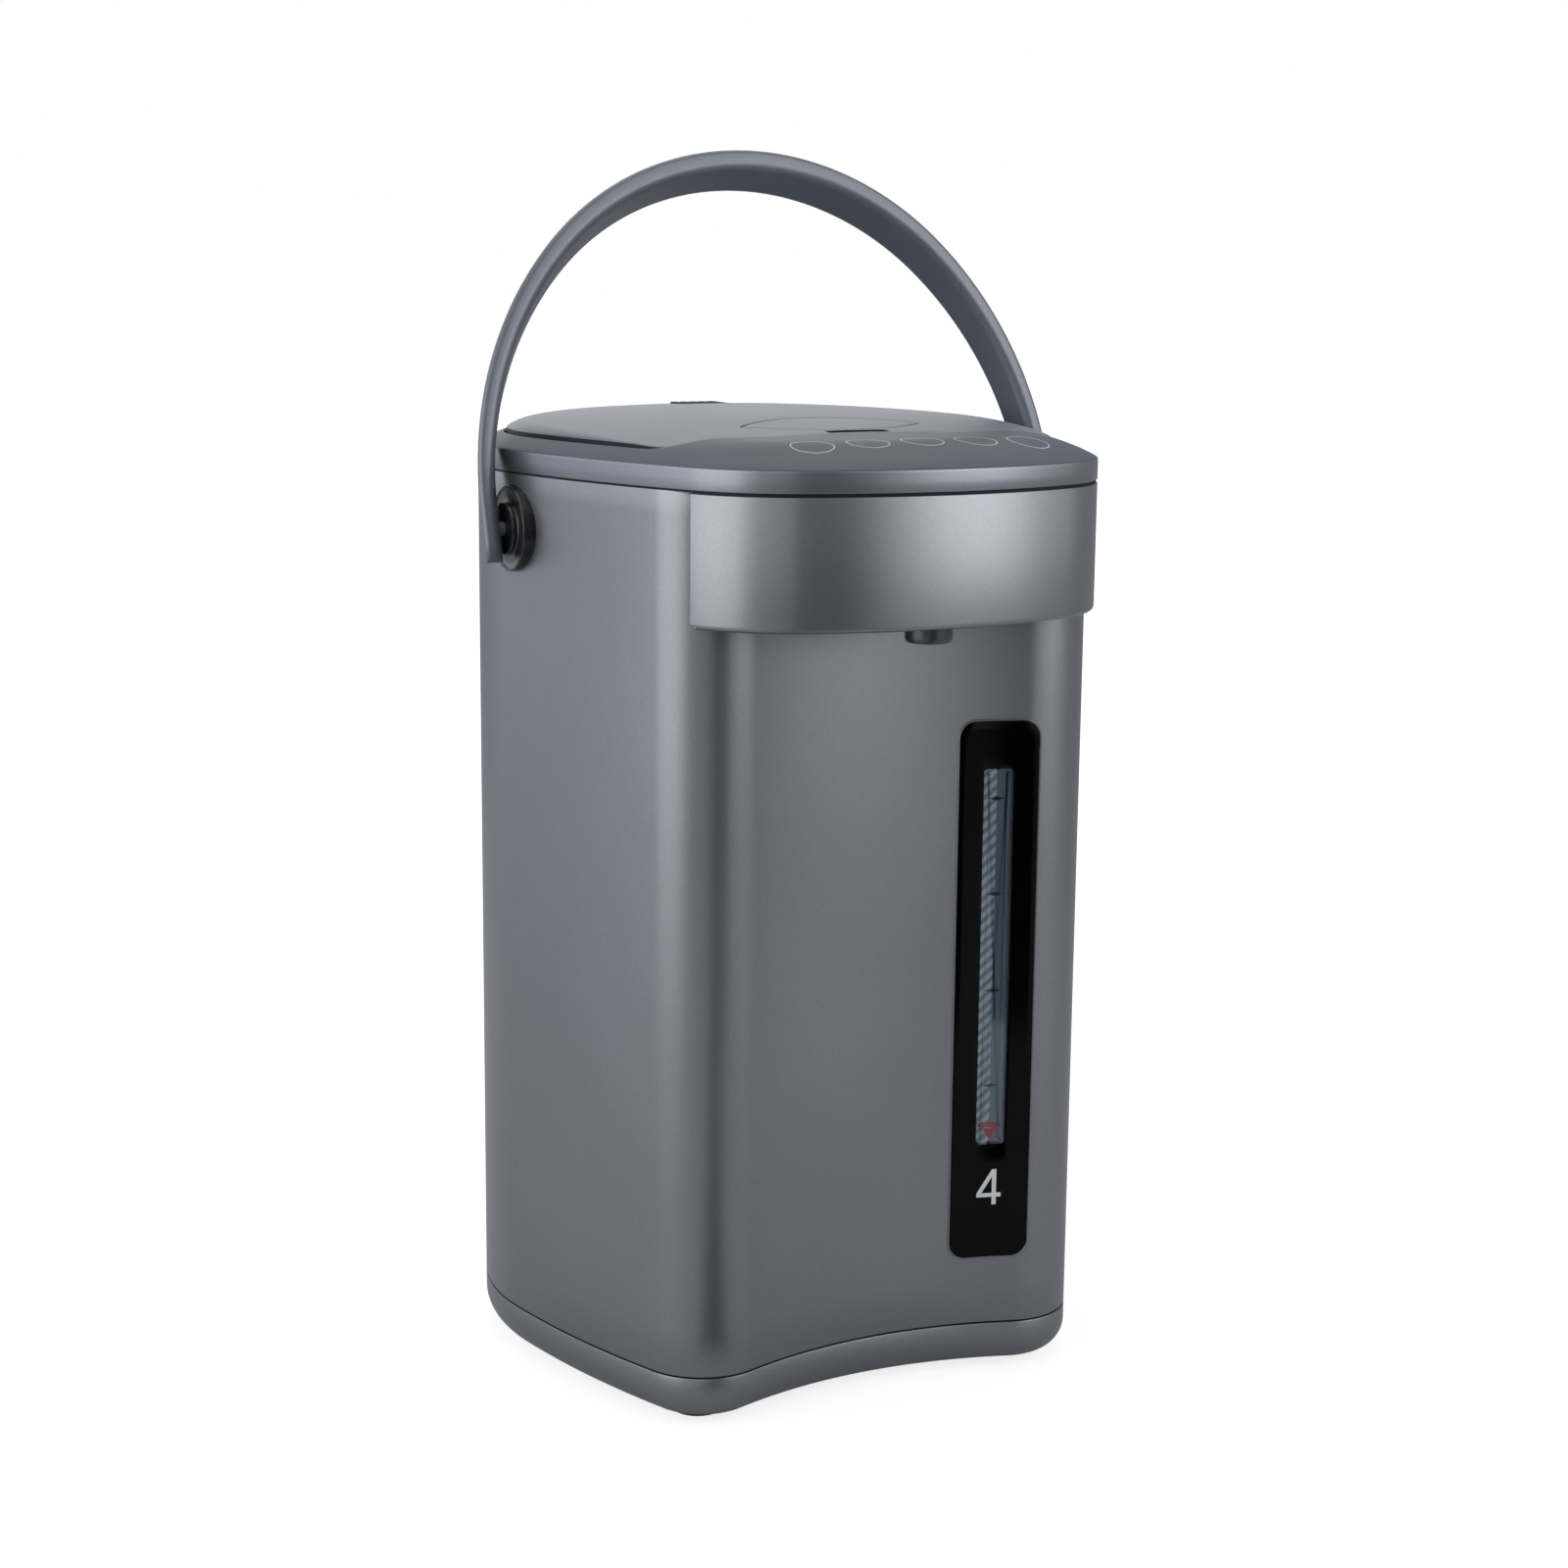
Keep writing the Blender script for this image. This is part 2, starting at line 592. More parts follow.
def collar_rings():
    edge_r, tilt = 1.1, 61.1
    start = BAND_Z - edge_r * math.tan(math.radians(tilt / 2))
    rows = [lift(ring(HEAD, i), z) for i, z in
            [(3, SEAM_Z), (0.5, SEAM_Z), (0.5, 303.5), (0.35, 303.5), (0.1, 303.6), (0, 303.85),
             (0, 307), (0, start)]]
    for a in np.linspace(0, tilt, 7)[1:]:
        t = math.radians(a)
        rows.append(lift(ring(HEAD, edge_r - edge_r * math.cos(t)), start + edge_r * math.sin(t)))
    for inset in (1.0, 1.6, 2.4, 3.4, 4.6, 6.0):
        rows.append(lift(ring(HEAD, inset), shoulder_z(inset)))
    inner = rows[-1][:, :2]
    rim = ring(RECESS, -0.8)
    for t in np.linspace(0, 1, 15)[1:]:
        flat = inner + (rim - inner) * t
        rows.append(lift(flat, [deck_z(p) for p in flat]))
    rim_z = rows[-1][:, 2]
    for a in (22, 45, 67, 90):
        t = math.radians(a)
        rows.append(lift(ring(RECESS, -0.8 + 0.8 * math.sin(t)), rim_z - 0.8 * (1 - math.cos(t))))
    wall = ring(RECESS, 0)
    rows += [lift(wall, FLOOR_Z + 1), lift(wall, FLOOR_Z)]
    away = wall - [0, TANK_Y]
    mouth = away / np.linalg.norm(away, axis=1)[:, None] * MOUTH_R + [0, TANK_Y]
    rows += [lift(wall + (mouth - wall) * t, FLOOR_Z) for t in (0.5, 0.99, 1)]
    rows += [lift(mouth, FLOOR_Z - 2), lift(ring(HEAD, 3), FLOOR_Z - 2)]
    return rows


collar = make("top_collar_skin", grid(collar_rings()))
cut(collar, block((-8.6, -60.9, 311.2), (8.6, -50, 314.4)))
fit(collar, DECK_ABS, "pot", ["top_collar"], sharp=40)
second_finish(collar, BAND_PAINT, lambda c, n: abs(n.z) < 0.45 and 303.55 < c.z < 310.8
              and depth_inside(HEAD, c.xy) < 2)
collar.data.materials.append(LIP_BLACK)
for face in collar.data.polygons:
    c = face.center / MM
    if c.z < 303.55 or (abs(face.normal.z) < 0.3 and depth_inside(HEAD, c.xy) > 5):
        face.material_index = 2

# %% [markdown]
# The lid is a shallow dome with a rounded edge, lying in the recess with a gap of
# 0.6 mm. An almond hole in front takes the release lever. The surface is drawn as rings
# that change from the lid's outline to the almond, all lifted on to one dome, so the
# reflection runs over it without a break.

# %% Lid surface
LID_TOP, CROWN_Y, DOME_R = 321.5, 30.0, 900.0
RIM_Z, RIM_R, RIM_A = 315.2, 30.7, math.radians(32)
LEVER_C, LEVER_L, LEVER_W = np.array([0.0, -30.5]), 32.5, 14.5
ALMOND_R = (LEVER_L ** 2 + LEVER_W ** 2) / 2 / LEVER_W
HINGE_Y, HINGE_Z, BARREL_R = 88, 314, 4.2


def dome_z(p):
    return LID_TOP - DOME_R + math.sqrt(DOME_R ** 2 - p[0] ** 2 - (p[1] - CROWN_Y) ** 2)


def edge_z(inset):
    if inset >= RIM_R * math.sin(RIM_A):
        return LID_TOP
    reach = RIM_R * math.sin(RIM_A) - inset
    return RIM_Z - RIM_R * math.cos(RIM_A) + math.sqrt(RIM_R ** 2 - reach ** 2)


def top_z(p, inset=99.0):
    low, high = sorted((dome_z(p), edge_z(inset)))
    soft = 0.6
    return low - max(soft - (high - low), 0) ** 2 / (4 * soft)


def almond_ring(directions, grow):
    away = ALMOND_R - LEVER_W
    out = []
    for u in directions:
        reach = [u[1] * s + math.sqrt(max((u[1] * s) ** 2 + (ALMOND_R + grow) ** 2 - away ** 2, 0))
                 for s in (away, -away)]
        out.append(LEVER_C + u * min(reach))
    return np.array(out)


def towards(points, centre):
    away = np.asarray(points) - centre
    out = away / np.linalg.norm(away, axis=1)[:, None]
    for s in (-1, 1):
        out[np.argmax(s * out[:, 0])] = (s, 0)
    return out


def lid_top_rings(first, drop):
    insets = [first, first + 0.12, first + 0.4, first + 0.8, 2.0, 2.8, 3.8, 5, 6.4, 8, 9.4, 10.8]
    sink = [0.6, 0.25, 0.06, 0] + [0] * 8
    rows = []
    for inset, low in zip(insets, sink):
        flat = ring(RECESS, inset)
        rows.append(lift(flat, [top_z(p, inset) - low - drop for p in flat]))
    return rows


def lid_rings():
    outer = ring(RECESS, 0.6)
    rows = [lift(ring(RECESS, 3.6), 309.6), lift(outer, 309.6)] + lid_top_rings(0.6, 0)
    start = rows[-1][:, :2]
    ways = towards(start, LEVER_C)
    hole = almond_ring(ways, 0.9)
    for t in np.linspace(0, 1, 22)[1:]:
        flat = start + (hole - start) * t
        rows.append(lift(flat, [top_z(p, depth_inside(RECESS, p)) for p in flat]))
    for grow, low in ((0.75, 0.04), (0.58, 0.18), (0.5, 0.4)):
        flat = almond_ring(ways, grow)
        rows.append(lift(flat, [dome_z(p) - low for p in flat]))
    rows += [lift(almond_ring(ways, 0.5), 311.9), lift(ring(RECESS, 3.6), 311.9)]
    return rows


lid = make("lid_shell_skin", grid(lid_rings()))
cut(lid, block((-120, 87, 300), (120, 130, 340)),
    block((-43.6, 81, 300), (-36, 100, 340)), block((36, 81, 300), (43.6, 100, 340)),
    block((-11, -50.5, 314.6), (11, -46.5, 340)), block((-9.3, 61.7, 309), (9.3, 78.3, 340)),
    block((-8.3, -70, 311.5), (8.3, -12, 314.7)), rod((0, -20, 313.6), (0, -2, 313.6), 2.0))
barrel = make("lid_barrel", rod((-36, HINGE_Y, HINGE_Z), (36, HINGE_Y, HINGE_Z), BARREL_R))
fit(barrel, LID_ABS, "lid", [])
fit(lid, LID_ABS, "lid", ["lid_shell"], sharp=40)
second_finish(lid, LIP_BLACK, lambda c, n: abs(n.z) < 0.35)

# %% [markdown]
# Steam leaves through a small grille near the back of the lid. Its louvres stand a little
# proud of the dome and are charcoal, so they show as short dark dashes on the skyline.

# %% Vent louvres
LOUVRE_PITCH, LOUVRE_W, LOUVRE_Y, LOUVRE_Z = 3.6, 2.4, (63, 76), (319.8, 320.95)
louvres = [block((k * LOUVRE_PITCH - LOUVRE_W / 2, LOUVRE_Y[0], LOUVRE_Z[0]),
                 (k * LOUVRE_PITCH + LOUVRE_W / 2, LOUVRE_Y[1], LOUVRE_Z[1]))
           for k in range(-2, 3)]
fit(make("steam_vent_louvres", join(*louvres)), LIP_BLACK, "lid", [])

# %% [markdown]
# The release lever fills the almond hole with half a millimetre of play all round. It
# rocks on a pin, and its leg pushes the latch bolt back. The plate follows the lid's
# dome, and its rounded edge draws the thin light line seen round it.

# %% Release lever
def lever_part():
    ways = [unit(a) for a in np.linspace(0, 360, 144, endpoint=False)]
    rim = almond_ring(ways, 0)
    rows = [lift(rim, 316.9)]
    for inset, low in ((0, 0.5), (0.08, 0.22), (0.3, 0.05), (0.6, 0)):
        flat = almond_ring(ways, -inset)
        rows.append(lift(flat, [dome_z(p) - low for p in flat]))
    start = rows[-1][:, :2]
    for f in (0.9, 0.75, 0.55, 0.35, 0.15, 0.02):
        flat = LEVER_C + (start - LEVER_C) * f
        rows.append(lift(flat, [dome_z(p) for p in flat]))
    leg = block((-3, -21.7, 315.3), (3, -19.3, 317.9))
    return join(grid(rows, tube=False), leg, rod((-20, -30.5, 317.2), (20, -30.5, 317.2), 1.9),
                rod((-3, -20.5, 315.3), (3, -20.5, 315.3), 1.2))


fit(make("release_lever_skin", lever_part()), LID_ABS, "lever", ["release_lever"])

# %% [markdown]
# Behind the lid a crescent of the same dome stays fixed to the collar and carries the
# hinge pin between two ears. It is cut from the lid's form, so the two domes line up.

# %% Hinge cover
def crescent_rings():
    rows = [lift(ring(RECESS, 0.2), FLOOR_Z)] + lid_top_rings(0.2, 0.2)
    start = rows[-1][:, :2]
    for f in np.linspace(1, 0.05, 12)[1:]:
        flat = [0, CROWN_Y] + (start - [0, CROWN_Y]) * f
        rows.append(lift(flat, [dome_z(p) - 0.2 for p in flat]))
    return rows


crescent = make("hinge_cover_skin", grid(crescent_rings(), tube=False))
cut(crescent, block((-70, 88.4, 307), (70, 110, 340)), operation="INTERSECT")
cut(crescent, rod((-90, HINGE_Y, HINGE_Z), (90, HINGE_Y, HINGE_Z), 6.1))
ears = [rod((x, HINGE_Y, HINGE_Z), (x + 6.5, HINGE_Y, HINGE_Z), BARREL_R) for x in (-43, 36.5)]
fit(crescent, DECK_ABS, "pot", ["hinge_cover"], sharp=40)
inside = grid([lift(ring(RECESS, 0.2), z) for z in (300, 330)], tube=False)
for side, ear in zip(("left", "right"), ears):
    piece = cut(make("hinge_ear_" + side, ear), inside, operation="INTERSECT")
    fit(piece, DECK_ABS, "pot", [])

# %% [markdown]
# The handle is one moulding: two flat arms that widen into a grip. Its face is slanted,
# so the near side of the hoop shows its inside. It is drawn as a rounded section that is
# swept up one arm, over the arch and down the other, and then leaned back.

# %% Handle
ARM_X, LEAN = 104.2, 15.8
ARM_RISE, SIDE_R, SIDE_A = 8.0, 120.0, math.radians(44)
TOP_R = (ARM_X + SIDE_R * (math.cos(SIDE_A) - 1)) / math.cos(SIDE_A)
TOP_Z = ARM_RISE + (SIDE_R - TOP_R) * math.sin(SIDE_A)
HALF_T, SLANT = 5.5 / math.cos(math.radians(20)) / 2, math.tan(math.radians(20))


def half_width(z):
    if z < -5.95:
        return math.sqrt(max(5.05 ** 2 - (z + 5.95) ** 2, 0.02))
    return 5.05 + (7.1 - 5.05) * min(max((z - 15) / (TOP_Z + TOP_R + 9 - 15), 0), 1)


def section(count=8):
    turn = np.radians(np.linspace(0, 90, count))
    return [(sx, sy, a + q * math.pi / 2) for q, (sx, sy) in
            enumerate(((1, 1), (-1, 1), (-1, -1), (1, -1))) for a in turn]


def handle_station(centre, r, turn, z):
    w, extra = half_width(z), 1.3 * math.sin(turn)
    t = HALF_T + extra / 2
    soft = min(2.3, t * 0.8, w * 0.7)
    out = np.array([math.cos(turn), 0, math.sin(turn)])
    points = []
    for sx, sy, a in section():
        u = sx * (t - soft) + soft * math.cos(a) - extra / 2
        v = sy * (w - soft) + soft * math.sin(a)
        points.append(centre + out * (r + u - v * SLANT) + np.array([0, v, 0]))
    return points


def handle_rings():
    low = [-10.99, -10.9, -10.7, -10.3, -9.6, -8.6, -7.3, -5.95, -2, 2, 5]
    half = [handle_station(np.array([0, 0, z]), ARM_X, 0.0, z) for z in low]
    for t in np.linspace(0, SIDE_A, 25)[:-1]:
        half.append(handle_station(np.array([ARM_X - SIDE_R, 0, ARM_RISE]), SIDE_R, t,
                                   ARM_RISE + SIDE_R * math.sin(t)))
    for t in np.linspace(SIDE_A, math.pi / 2, 25):
        half.append(handle_station(np.array([0, 0, TOP_Z]), TOP_R, t, TOP_Z + TOP_R * math.sin(t)))
    half = np.array(half)
    other = half[-2::-1] * [-1, 1, 1]
    c, s = math.cos(math.radians(-LEAN)), math.sin(math.radians(-LEAN))
    turn = np.array([[1, 0, 0], [0, c, -s], [0, s, c]])
    return [row @ turn.T + [0, PIVOT_Y, PIVOT_Z] for row in (*half, *other)]


def side_rod(s, x0, x1, r, n=64):
    return rod((s * x0, PIVOT_Y, PIVOT_Z), (s * x1, PIVOT_Y, PIVOT_Z), r, n)


handle = make("handle_skin", grid(handle_rings(), tube=False), sharp=50)
for s in (-1, 1):
    cut(handle, side_rod(s, 80, 100.4, 14, 96), side_rod(s, 80, 120, 2.55),
        side_rod(s, 104.9, 120, 4))
fit(handle, HANDLE_ABS, "handle", ["handle"], sharp=50)

# %% [markdown]
# Each arm turns on a black disc set in the body's side. The disc has a thin raised rim
# and a hub, so it is turned like a lathe part from half a section. A turned part is a
# stack of circles, and small steps in the section give its edges their light.

# %% Turned parts
def turned(profile, origin, axis, n=96):
    axis = np.array(axis, float)
    side = np.array([0, 1.0, 0]) if abs(axis[1]) < 0.5 else np.array([1.0, 0, 0])
    other = np.cross(axis, side)
    rows = []
    for along, r in profile:
        rows.append([np.array(origin) + axis * along + max(r, 0.01) *
                     (math.cos(t) * side + math.sin(t) * other)
                     for t in np.linspace(0, 2 * math.pi, n, endpoint=False)])
    return grid(rows, tube=False)


DISC = [(90, 0), (90, 13.9), (98.0, 14), (98.35, 13.92), (98.54, 13.75), (98.6, 13.5),
        (98.6, 13.2), (98.5, 13.05), (98.1, 12.9), (98.0, 12.7), (98.0, 9.2), (98.1, 8.8),
        (98.4, 8.55), (99.9, 8.5), (100.1, 8.4), (100.2, 8.1), (100.2, 0)]
PIN = [(92, 0), (92, 2.5), (105.0, 2.5), (105.0, 3.7), (105.7, 3.8), (106.0, 3.6),
       (106.1, 3.2), (106.1, 0)]
for side, s in (("left", -1), ("right", 1)):
    centre = (0, PIVOT_Y, PIVOT_Z)
    disc = make("pivot_disc_" + side, turned(DISC, centre, (s, 0, 0)))
    fit(disc, DISC_ABS, "pot", ["pivot_socket_" + side])
    pin = make("pivot_pin_skin_" + side, turned(PIN, centre, (s, 0, 0), 64))
    fit(pin, HANDLE_ABS, "pot", ["pivot_pin_" + side])

# %% [markdown]
# The spout is a short nozzle under the head with a wide mouth, joined inside to the pipe
# that brings the water. Only its last few millimetres show.

# %% Spout nozzle
PIPE_Z = 278
NOZZLE = [(0, 2.2), (-16, 2.2), (-19, 2.3), (-19, 5.6), (-21.4, 5.7), (-21.9, 6.0), (-22, 6.4),
          (-21.8, 7.0), (-21.2, 7.4), (-20.3, 7.5), (-14.2, 7.5), (-14.2, 10.3), (-12.3, 10.3),
          (-12.3, 5), (3, 5), (5, 3.2), (5.4, 0)]
nozzle = make("spout_nozzle_skin", join(
    turned(NOZZLE, (0, SPOUT_Y, PIPE_Z), (0, 0, 1)),
    rod((0, SPOUT_Y, PIPE_Z), (0, -76, PIPE_Z), 3.15)))
fit(nozzle, NOZZLE_ABS, "pot", ["spout_nozzle"])

# %% [markdown]
# The gauge window is a gloss black acrylic panel that lies on the hollow front, with a
# slot for the clear lens. The panel is a frame of rings between two round-cornered loops,
# mapped on to the hollow, so it follows the curve exactly.

# %% Gauge finishes
def gloss(name, dark, light, roughness, ior=1.49):
    mat, tree, output = new_material(name)
    place = add(tree, "TexCoord").outputs["Object"]
    haze = add(tree, "TexNoise", {"Vector": place, "Scale": 1 / 0.02, "Detail": 4.0})
    tone = add(tree, "ValToRGB", {"Fac": haze.outputs["Fac"]}, stops=[(0.3, dark), (0.7, light)])
    polish = add(tree, "MapRange", {"Value": haze.outputs["Fac"], "To Min": roughness,
                                    "To Max": roughness + 0.05})
    shader = add(tree, "BsdfPrincipled", {"Base Color": tone.outputs[0],
                                          "Roughness": polish.outputs[0], "IOR": ior})
    tree.links.new(shader.outputs[0], output.inputs["Surface"])
    return mat


def clear_plastic(name, tint, roughness=0.04, ior=1.49):
    mat, tree, output = new_material(name)
    place = add(tree, "TexCoord").outputs["Object"]
    ripple = add(tree, "TexNoise", {"Vector": place, "Scale": 1 / 0.004, "Detail": 1.0})
    bump = add(tree, "Bump", {"Height": ripple.outputs["Fac"], "Strength": 0.05,
                              "Distance": 0.00005})
    through = add(tree, "BsdfTransparent", {"Color": linear(tint)})
    shine = add(tree, "BsdfGlossy", {"Roughness": roughness, "Normal": bump.outputs[0]})
    edge = add(tree, "Fresnel", {"IOR": ior, "Normal": bump.outputs[0]})
    mix = add(tree, "MixShader", {0: edge.outputs[0], 1: through.outputs[0], 2: shine.outputs[0]})
    tree.links.new(mix.outputs[0], output.inputs["Surface"])
    return mat


# %% [markdown]
# The strip beside the water column is printed with slanting grey bands, so that the water
# behind the window can be told from the air. The bands come from one saw-tooth made from
# the place across and up the strip, and repeat every 3.8 mm up it.

# %% Printed strip
def striped_print(name, pale, dark, pitch=0.0038, slope=0.9):
    mat, tree, output = new_material(name)
    place = add(tree, "SeparateXYZ", {0: add(tree, "TexCoord").outputs["Object"]})
    across = add(tree, "Math", {0: place.outputs["X"], 1: -slope}, operation="MULTIPLY")
    along = add(tree, "Math", {0: place.outputs["Z"], 1: across.outputs[0]}, operation="ADD")
    turns = add(tree, "Math", {0: along.outputs[0], 1: 1 / pitch}, operation="MULTIPLY")
    saw = add(tree, "Math", {0: turns.outputs[0]}, operation="FRACT")
    tone = add(tree, "ValToRGB", {"Fac": saw.outputs[0]},
               stops=[(0.0, pale), (0.35, pale), (0.5, dark), (0.8, dark), (1.0, pale)])
    shader = add(tree, "BsdfPrincipled", {"Base Color": tone.outputs[0], "Roughness": 0.45})
    tree.links.new(shader.outputs[0], output.inputs["Surface"])
    return mat


PANEL_GLOSS = gloss("acrylic_black_gloss_moulded", "#010101", "#020202", 0.1, 1.2)
LENS_CLEAR = clear_plastic("acrylic_clear_moulded", "#f2f6f8")
GLASS = clear_plastic("borosilicate_glass_drawn", "#eef4f4", 0.01, 1.47)
BANDS_PRINT = striped_print("polyester_strip_printed_with_bands", "#e2e8ee", "#98a1aa")
SMOKE_FILM = gloss("polyester_film_blue_grey", "#8a919d", "#929aa6", 0.4)
SILVER_INK = gloss("screen_printed_silver_ink", "#b4b6b8", "#c0c2c4", 0.35)
RED_INK = gloss("screen_printed_red_ink", "#d81f28", "#e8262e", 0.4)
BLACK_INK = gloss("screen_printed_black_ink", "#0c0c0d", "#121214", 0.4)
KEY_INK = gloss("screen_printed_pale_ink", "#b9c0c7", "#c6cdd3", 0.4)

# %% [markdown]
# Panel, lens and print are slabs on the hollow: a loop in the surface's own width and
# height, repeated at two or more depths. Depth is negative in front of the sheet.

# %% Gauge window
def hollow_slab(loop, front, rear):
    return grid([hollow_ring(loop, rear), hollow_ring(loop, front)], tube=False)


def stroke(p0, p1, width):
    p0, p1 = np.array(p0, float), np.array(p1, float)
    side = np.array([p0[1] - p1[1], p1[0] - p0[0]]) * width / 2 / np.linalg.norm(p1 - p0)
    return np.array([p0 - side, p1 - side, p1 + side, p0 + side])


PANEL_W, PANEL_Z0, PANEL_Z1, PANEL_R = 26.8, 41.5, 224.8, 5.5
panel_out = [rounded_loop(PANEL_W - 2 * g, PANEL_Z0 + g, PANEL_Z1 - g, PANEL_R - g)
             for g in (0, 0.15, 0.5)]
SLOT_W, SLOT_Z0, SLOT_Z1, LENS_GAP = 10, 81, 209, 0.05
slot_out = [rounded_loop(SLOT_W + 2 * g, SLOT_Z0 - g, SLOT_Z1 + g, 1.5 + g)
            for g in (0, 0.12, 0.4)]
back = rounded_loop(20.4, 44.7, 221.6, 2)
face = [panel_out[2] + (slot_out[2] - panel_out[2]) * t for t in (0.25, 0.5, 0.75)]
panel_rows = [(back, 2.2), (back, 0.1), (panel_out[0], -0.06), (panel_out[0], -0.25),
              (panel_out[1], -0.5), (panel_out[2], -0.6), *[(f, -0.6) for f in face],
              (slot_out[2], -0.6), (slot_out[1], -0.5), (slot_out[0], -0.25), (slot_out[0], 2.2)]
panel = make("window_panel_skin", grid([hollow_ring(loop, d) for loop, d in panel_rows]))
fit(panel, PANEL_GLOSS, "pot", ["window_panel"])
lens_loops = [rounded_loop(SLOT_W - 2 * g, SLOT_Z0 + g, SLOT_Z1 - g, 1.5 - g)
              for g in (LENS_GAP, LENS_GAP + 0.2, LENS_GAP + 2.2)]
lens_rows = ((2, 1), (0, 1), (0, -0.25), (1, -0.4), (2, -0.4))
lens = make("gauge_lens_skin", grid([hollow_ring(lens_loops[k], d) for k, d in lens_rows],
                                    tube=False))
fit(lens, LENS_CLEAR, "pot", ["gauge_lens"])
beads = [rounded_loop(PANEL_W + 2 * g, PANEL_Z0 - g, PANEL_Z1 + g, PANEL_R + g)
         for g in (0.05, 0.2, 0.45, 0.7)]
bead_rows = ((0, 0.1), (0, -0.25), (1, -0.4), (2, -0.4), (3, -0.05), (3, 0.1))
bead = make("gauge_edge_bead", grid([hollow_ring(beads[k], d) for k, d in bead_rows]))
fit(bead, BODY_PAINT, "pot", [])
film = rounded_loop(4.8, SLOT_Z0 + 0.2, SLOT_Z1 - 0.2, 1.0) + [2.45, 0]
fit(make("gauge_smoke_film", hollow_slab(film, 1.2, 1.6)), SMOKE_FILM, "pot", [])
print("panel height", round(PANEL_Z1 - PANEL_Z0, 1), "mm, slot height", SLOT_Z1 - SLOT_Z0, "mm")

# %% [markdown]
# Four short wedges mark the litres and a red bar with a point marks the lowest level.
# Below the lens stands the capacity in litres as one plain figure, made of three strokes.

# %% Gauge marks
wedges = [np.array([(-2.8, z), (-0.2, z - 0.65), (2.6, z), (-0.2, z + 0.65)])
          for z in (198.9, 166.8, 133.9, 101.1)]
marks = join(*[hollow_slab(w, 1.05, 1.18) for w in wedges])
fit(make("gauge_level_marks", marks), BLACK_INK, "pot", [])
low_bar = stroke((-4.0, 87.4), (3.8, 87.4), 1.6)
low_point = np.array([(-2.6, 86.2), (0.2, 82.2), (3.0, 86.2)])
red = join(hollow_slab(low_bar, 1.05, 1.18), hollow_slab(low_point, 1.05, 1.18))
fit(make("gauge_low_mark", red), RED_INK, "pot", [])
figure = [stroke((1.7, 59.9), (1.7, 72.3), 1.5), stroke((1.5, 71.9), (-3.9, 63.4), 1.4),
          stroke((-4.4, 63.3), (4.1, 63.3), 1.4)]
lines = join(*[hollow_slab(f, -0.64, -0.5) for f in figure])
fit(make("capacity_figure", lines), SILVER_INK, "pot", [])

# %% [markdown]
# Five thin rings are printed on the deck's front slope over the touch keys. Ink stands
# some hundredths of a millimetre proud, so each ring is a ribbon just above the surface.

# %% Key rings
KEY_X, KEY_Y, KEY_PITCH = 2.2, -86.8, 19.2


def key_ring(x, inner=6.55, outer=6.9, count=72):
    ways = [unit(a) for a in np.linspace(0, 360, count, endpoint=False)]
    rows = []
    for r, rise in ((inner, -0.1), (inner, 0.04), (outer, 0.04), (outer, -0.1)):
        flat = [np.array([x, KEY_Y]) + r * u for u in ways]
        rows.append(lift(flat, [deck_z(p) + rise for p in flat]))
    return grid(rows)


rings = join(*[key_ring(KEY_X + k * KEY_PITCH) for k in range(-2, 3)])
fit(make("key_rings_print", rings), KEY_INK, "pot", [])

# %% [markdown]
# The pieces kept from the solid model get their finishes here. Steel that was rolled and
# brushed has long fine scratches, so its noise is stretched along the brushing. Turned
# and stamped parts are zinc plated, with a faint yellow bloom in patches.

# %% Metals
def brushed_metal(name, dark, light, roughness=0.28, along=(1, 1, 40)):
    mat, tree, output = new_material(name)
    place = add(tree, "TexCoord").outputs["Object"]
    drawn = add(tree, "Mapping", {"Vector": place, "Scale": along})
    lines = add(tree, "TexNoise", {"Vector": drawn.outputs[0], "Scale": 1 / 0.01, "Detail": 4.0})
    tone = add(tree, "ValToRGB", {"Fac": lines.outputs["Fac"]}, stops=[(0.3, dark), (0.7, light)])
    sheen = add(tree, "MapRange", {"Value": lines.outputs["Fac"], "To Min": roughness - 0.06,
                                   "To Max": roughness + 0.08})
    bump = add(tree, "Bump", {"Height": lines.outputs["Fac"], "Strength": 0.1,
                              "Distance": 0.00004})
    shader = add(tree, "BsdfPrincipled", {"Base Color": tone.outputs[0], "Metallic": 1.0,
                                          "Roughness": sheen.outputs[0],
                                          "Normal": bump.outputs[0]})
    tree.links.new(shader.outputs[0], output.inputs["Surface"])
    return mat


def plated_metal(name, dark, light, roughness=0.34, patch=0.006):
    mat, tree, output = new_material(name)
    place = add(tree, "TexCoord").outputs["Object"]
    bloom = add(tree, "TexNoise", {"Vector": place, "Scale": 1 / patch, "Detail": 5.0})
    tone = add(tree, "ValToRGB", {"Fac": bloom.outputs["Fac"]}, stops=[(0.3, dark), (0.7, light)])
    sheen = add(tree, "MapRange", {"Value": bloom.outputs["Fac"], "To Min": roughness - 0.08,
                                   "To Max": roughness + 0.1})
    shader = add(tree, "BsdfPrincipled", {"Base Color": tone.outputs[0], "Metallic": 1.0,
                                          "Roughness": sheen.outputs[0]})
    tree.links.new(shader.outputs[0], output.inputs["Surface"])
    return mat


TANK_STEEL = brushed_metal("stainless_steel_deep_drawn_brushed", "#b4b4b2", "#c6c6c4")
PIN_STEEL = plated_metal("steel_ground_bright", "#a8a9ab", "#b9babc", 0.22, 0.01)
ZINC = plated_metal("steel_zinc_plated", "#a9adb0", "#bcbfb6")
CAST = plated_metal("aluminium_die_cast", "#8f9193", "#a2a4a6", 0.5, 0.002)

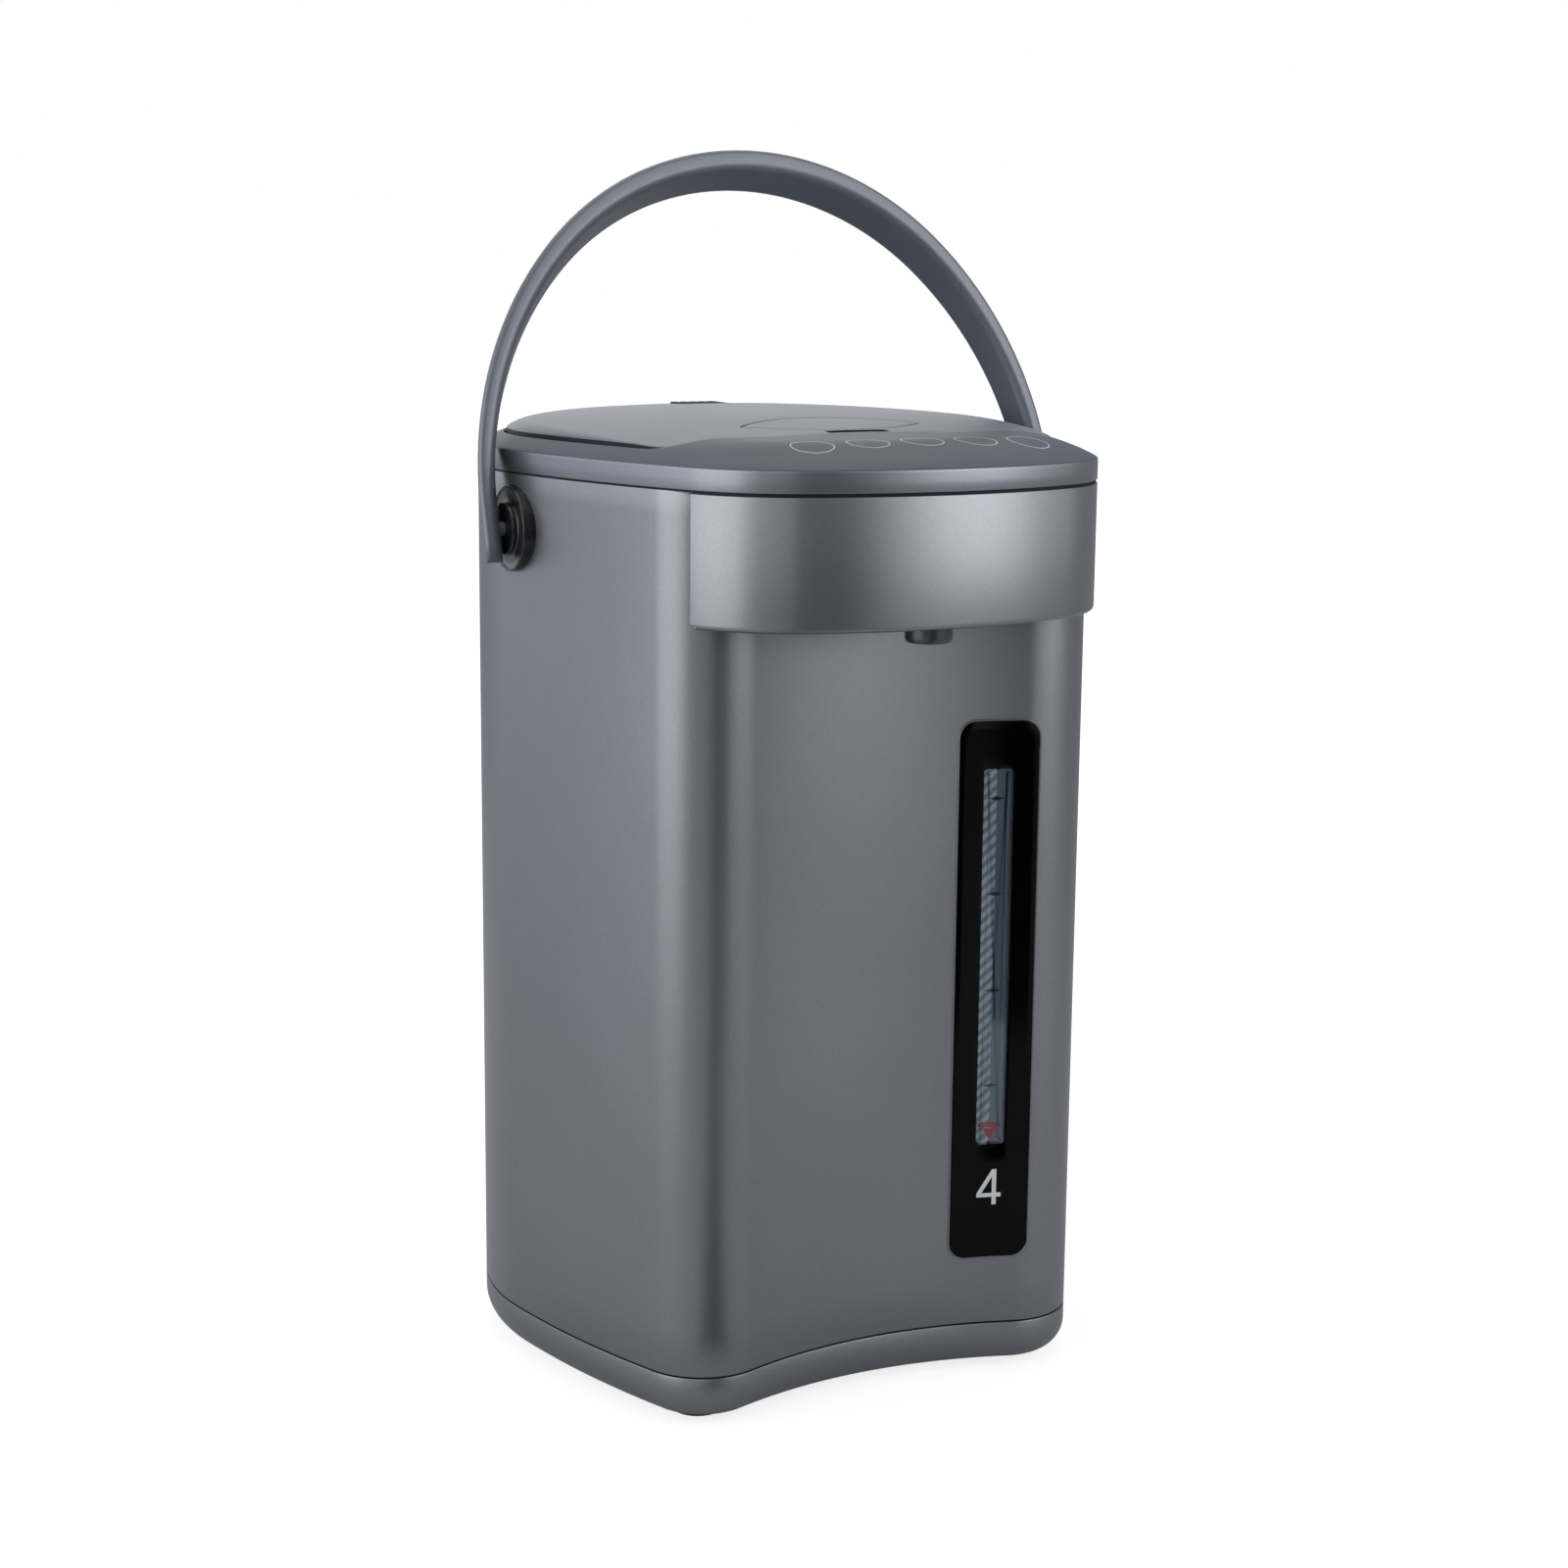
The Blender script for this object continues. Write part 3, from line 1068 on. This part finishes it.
# %% [markdown]
# Rubber and silicone are soft and dull. Rubber has a fine matt bloom; silicone is a milky
# grey that lets a little light in, so its edges look paler than its faces. Circuit board
# has a green lacquer over copper tracks, which show as slightly lighter squares.

# %% Soft parts and boards
def soft_part(name, dark, light, roughness, milky=0.0, grain=0.0006):
    mat, tree, output = new_material(name)
    place = add(tree, "TexCoord").outputs["Object"]
    dust = add(tree, "TexNoise", {"Vector": place, "Scale": 1 / grain, "Detail": 3.0})
    tone = add(tree, "ValToRGB", {"Fac": dust.outputs["Fac"]}, stops=[(0.3, dark), (0.7, light)])
    bump = add(tree, "Bump", {"Height": dust.outputs["Fac"], "Strength": 0.15,
                              "Distance": 0.00005})
    shader = add(tree, "BsdfPrincipled", {"Base Color": tone.outputs[0], "Roughness": roughness,
                                          "Subsurface Weight": milky,
                                          "Subsurface Scale": 0.002,
                                          "Normal": bump.outputs[0]})
    tree.links.new(shader.outputs[0], output.inputs["Surface"])
    return mat


def circuit_board(name, lacquer, track):
    mat, tree, output = new_material(name)
    place = add(tree, "TexCoord").outputs["Object"]
    tracks = add(tree, "TexBrick", {"Vector": place, "Color1": linear(lacquer),
                                    "Color2": linear(lacquer), "Mortar": linear(track),
                                    "Scale": 1 / 0.012, "Mortar Size": 0.03})
    haze = add(tree, "TexNoise", {"Vector": place, "Scale": 1 / 0.004})
    sheen = add(tree, "MapRange", {"Value": haze.outputs["Fac"], "To Min": 0.25, "To Max": 0.4})
    shader = add(tree, "BsdfPrincipled", {"Base Color": tracks.outputs["Color"],
                                          "Roughness": sheen.outputs[0]})
    tree.links.new(shader.outputs[0], output.inputs["Surface"])
    return mat


RUBBER = soft_part("rubber_black_moulded", "#191919", "#222222", 0.75)
SILICONE = soft_part("silicone_milky_extruded", "#c9cbcb", "#d6d8d7", 0.5, 0.15)
SEAL = soft_part("silicone_seal_grey_moulded", "#8d9093", "#999c9f", 0.55, 0.1)
BOARD = circuit_board("circuit_board_green_lacquer", "#1f4a2c", "#2f6b40")
VENT_ABS = moulded_plastic("abs_charcoal_vent_moulded", "#33363b", "#3a3d42", 0.45)

# %% [markdown]
# Each kept node is given its finish by name. The mesh stays as it is and only the
# material in its slots changes.

# %% Finishes of the kept nodes
FINISHES = [
    (TANK_STEEL, ("water_tank", "inner_plate")),
    (PIN_STEEL, ("lever_pin", "hinge_pin", "latch_spring", "touch_springs")),
    (ZINC, ("latch_bolt", "tie_rods", "board_screws", "lid_screws", "pump_motor",
            "thermal_cutout")),
    (CAST, ("heater_plate", "temperature_sensor")),
    (RUBBER, ("feet",)),
    (SILICONE, ("inlet_hose", "outlet_hose", "top_hose")),
    (SEAL, ("lid_seal", "tank_seal")),
    (BOARD, ("touch_board", "power_board")),
    (VENT_ABS, ("steam_vent",)),
    (BLACK_ABS, ("bottom_plate", "power_socket", "pump_housing", "pump_cover")),
    (WHITE_PP, ("lid_base", "pump_impeller", "board_posts")),
    (GLASS, ("gauge_tube",)),
    (BANDS_PRINT, ("gauge_scale",))]
for material, names in FINISHES:
    for name in names:
        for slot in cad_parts[name].material_slots:
            slot.material = material
kept = [name for _, names in FINISHES for name in names]
print("kept nodes with a finish:", len(kept))
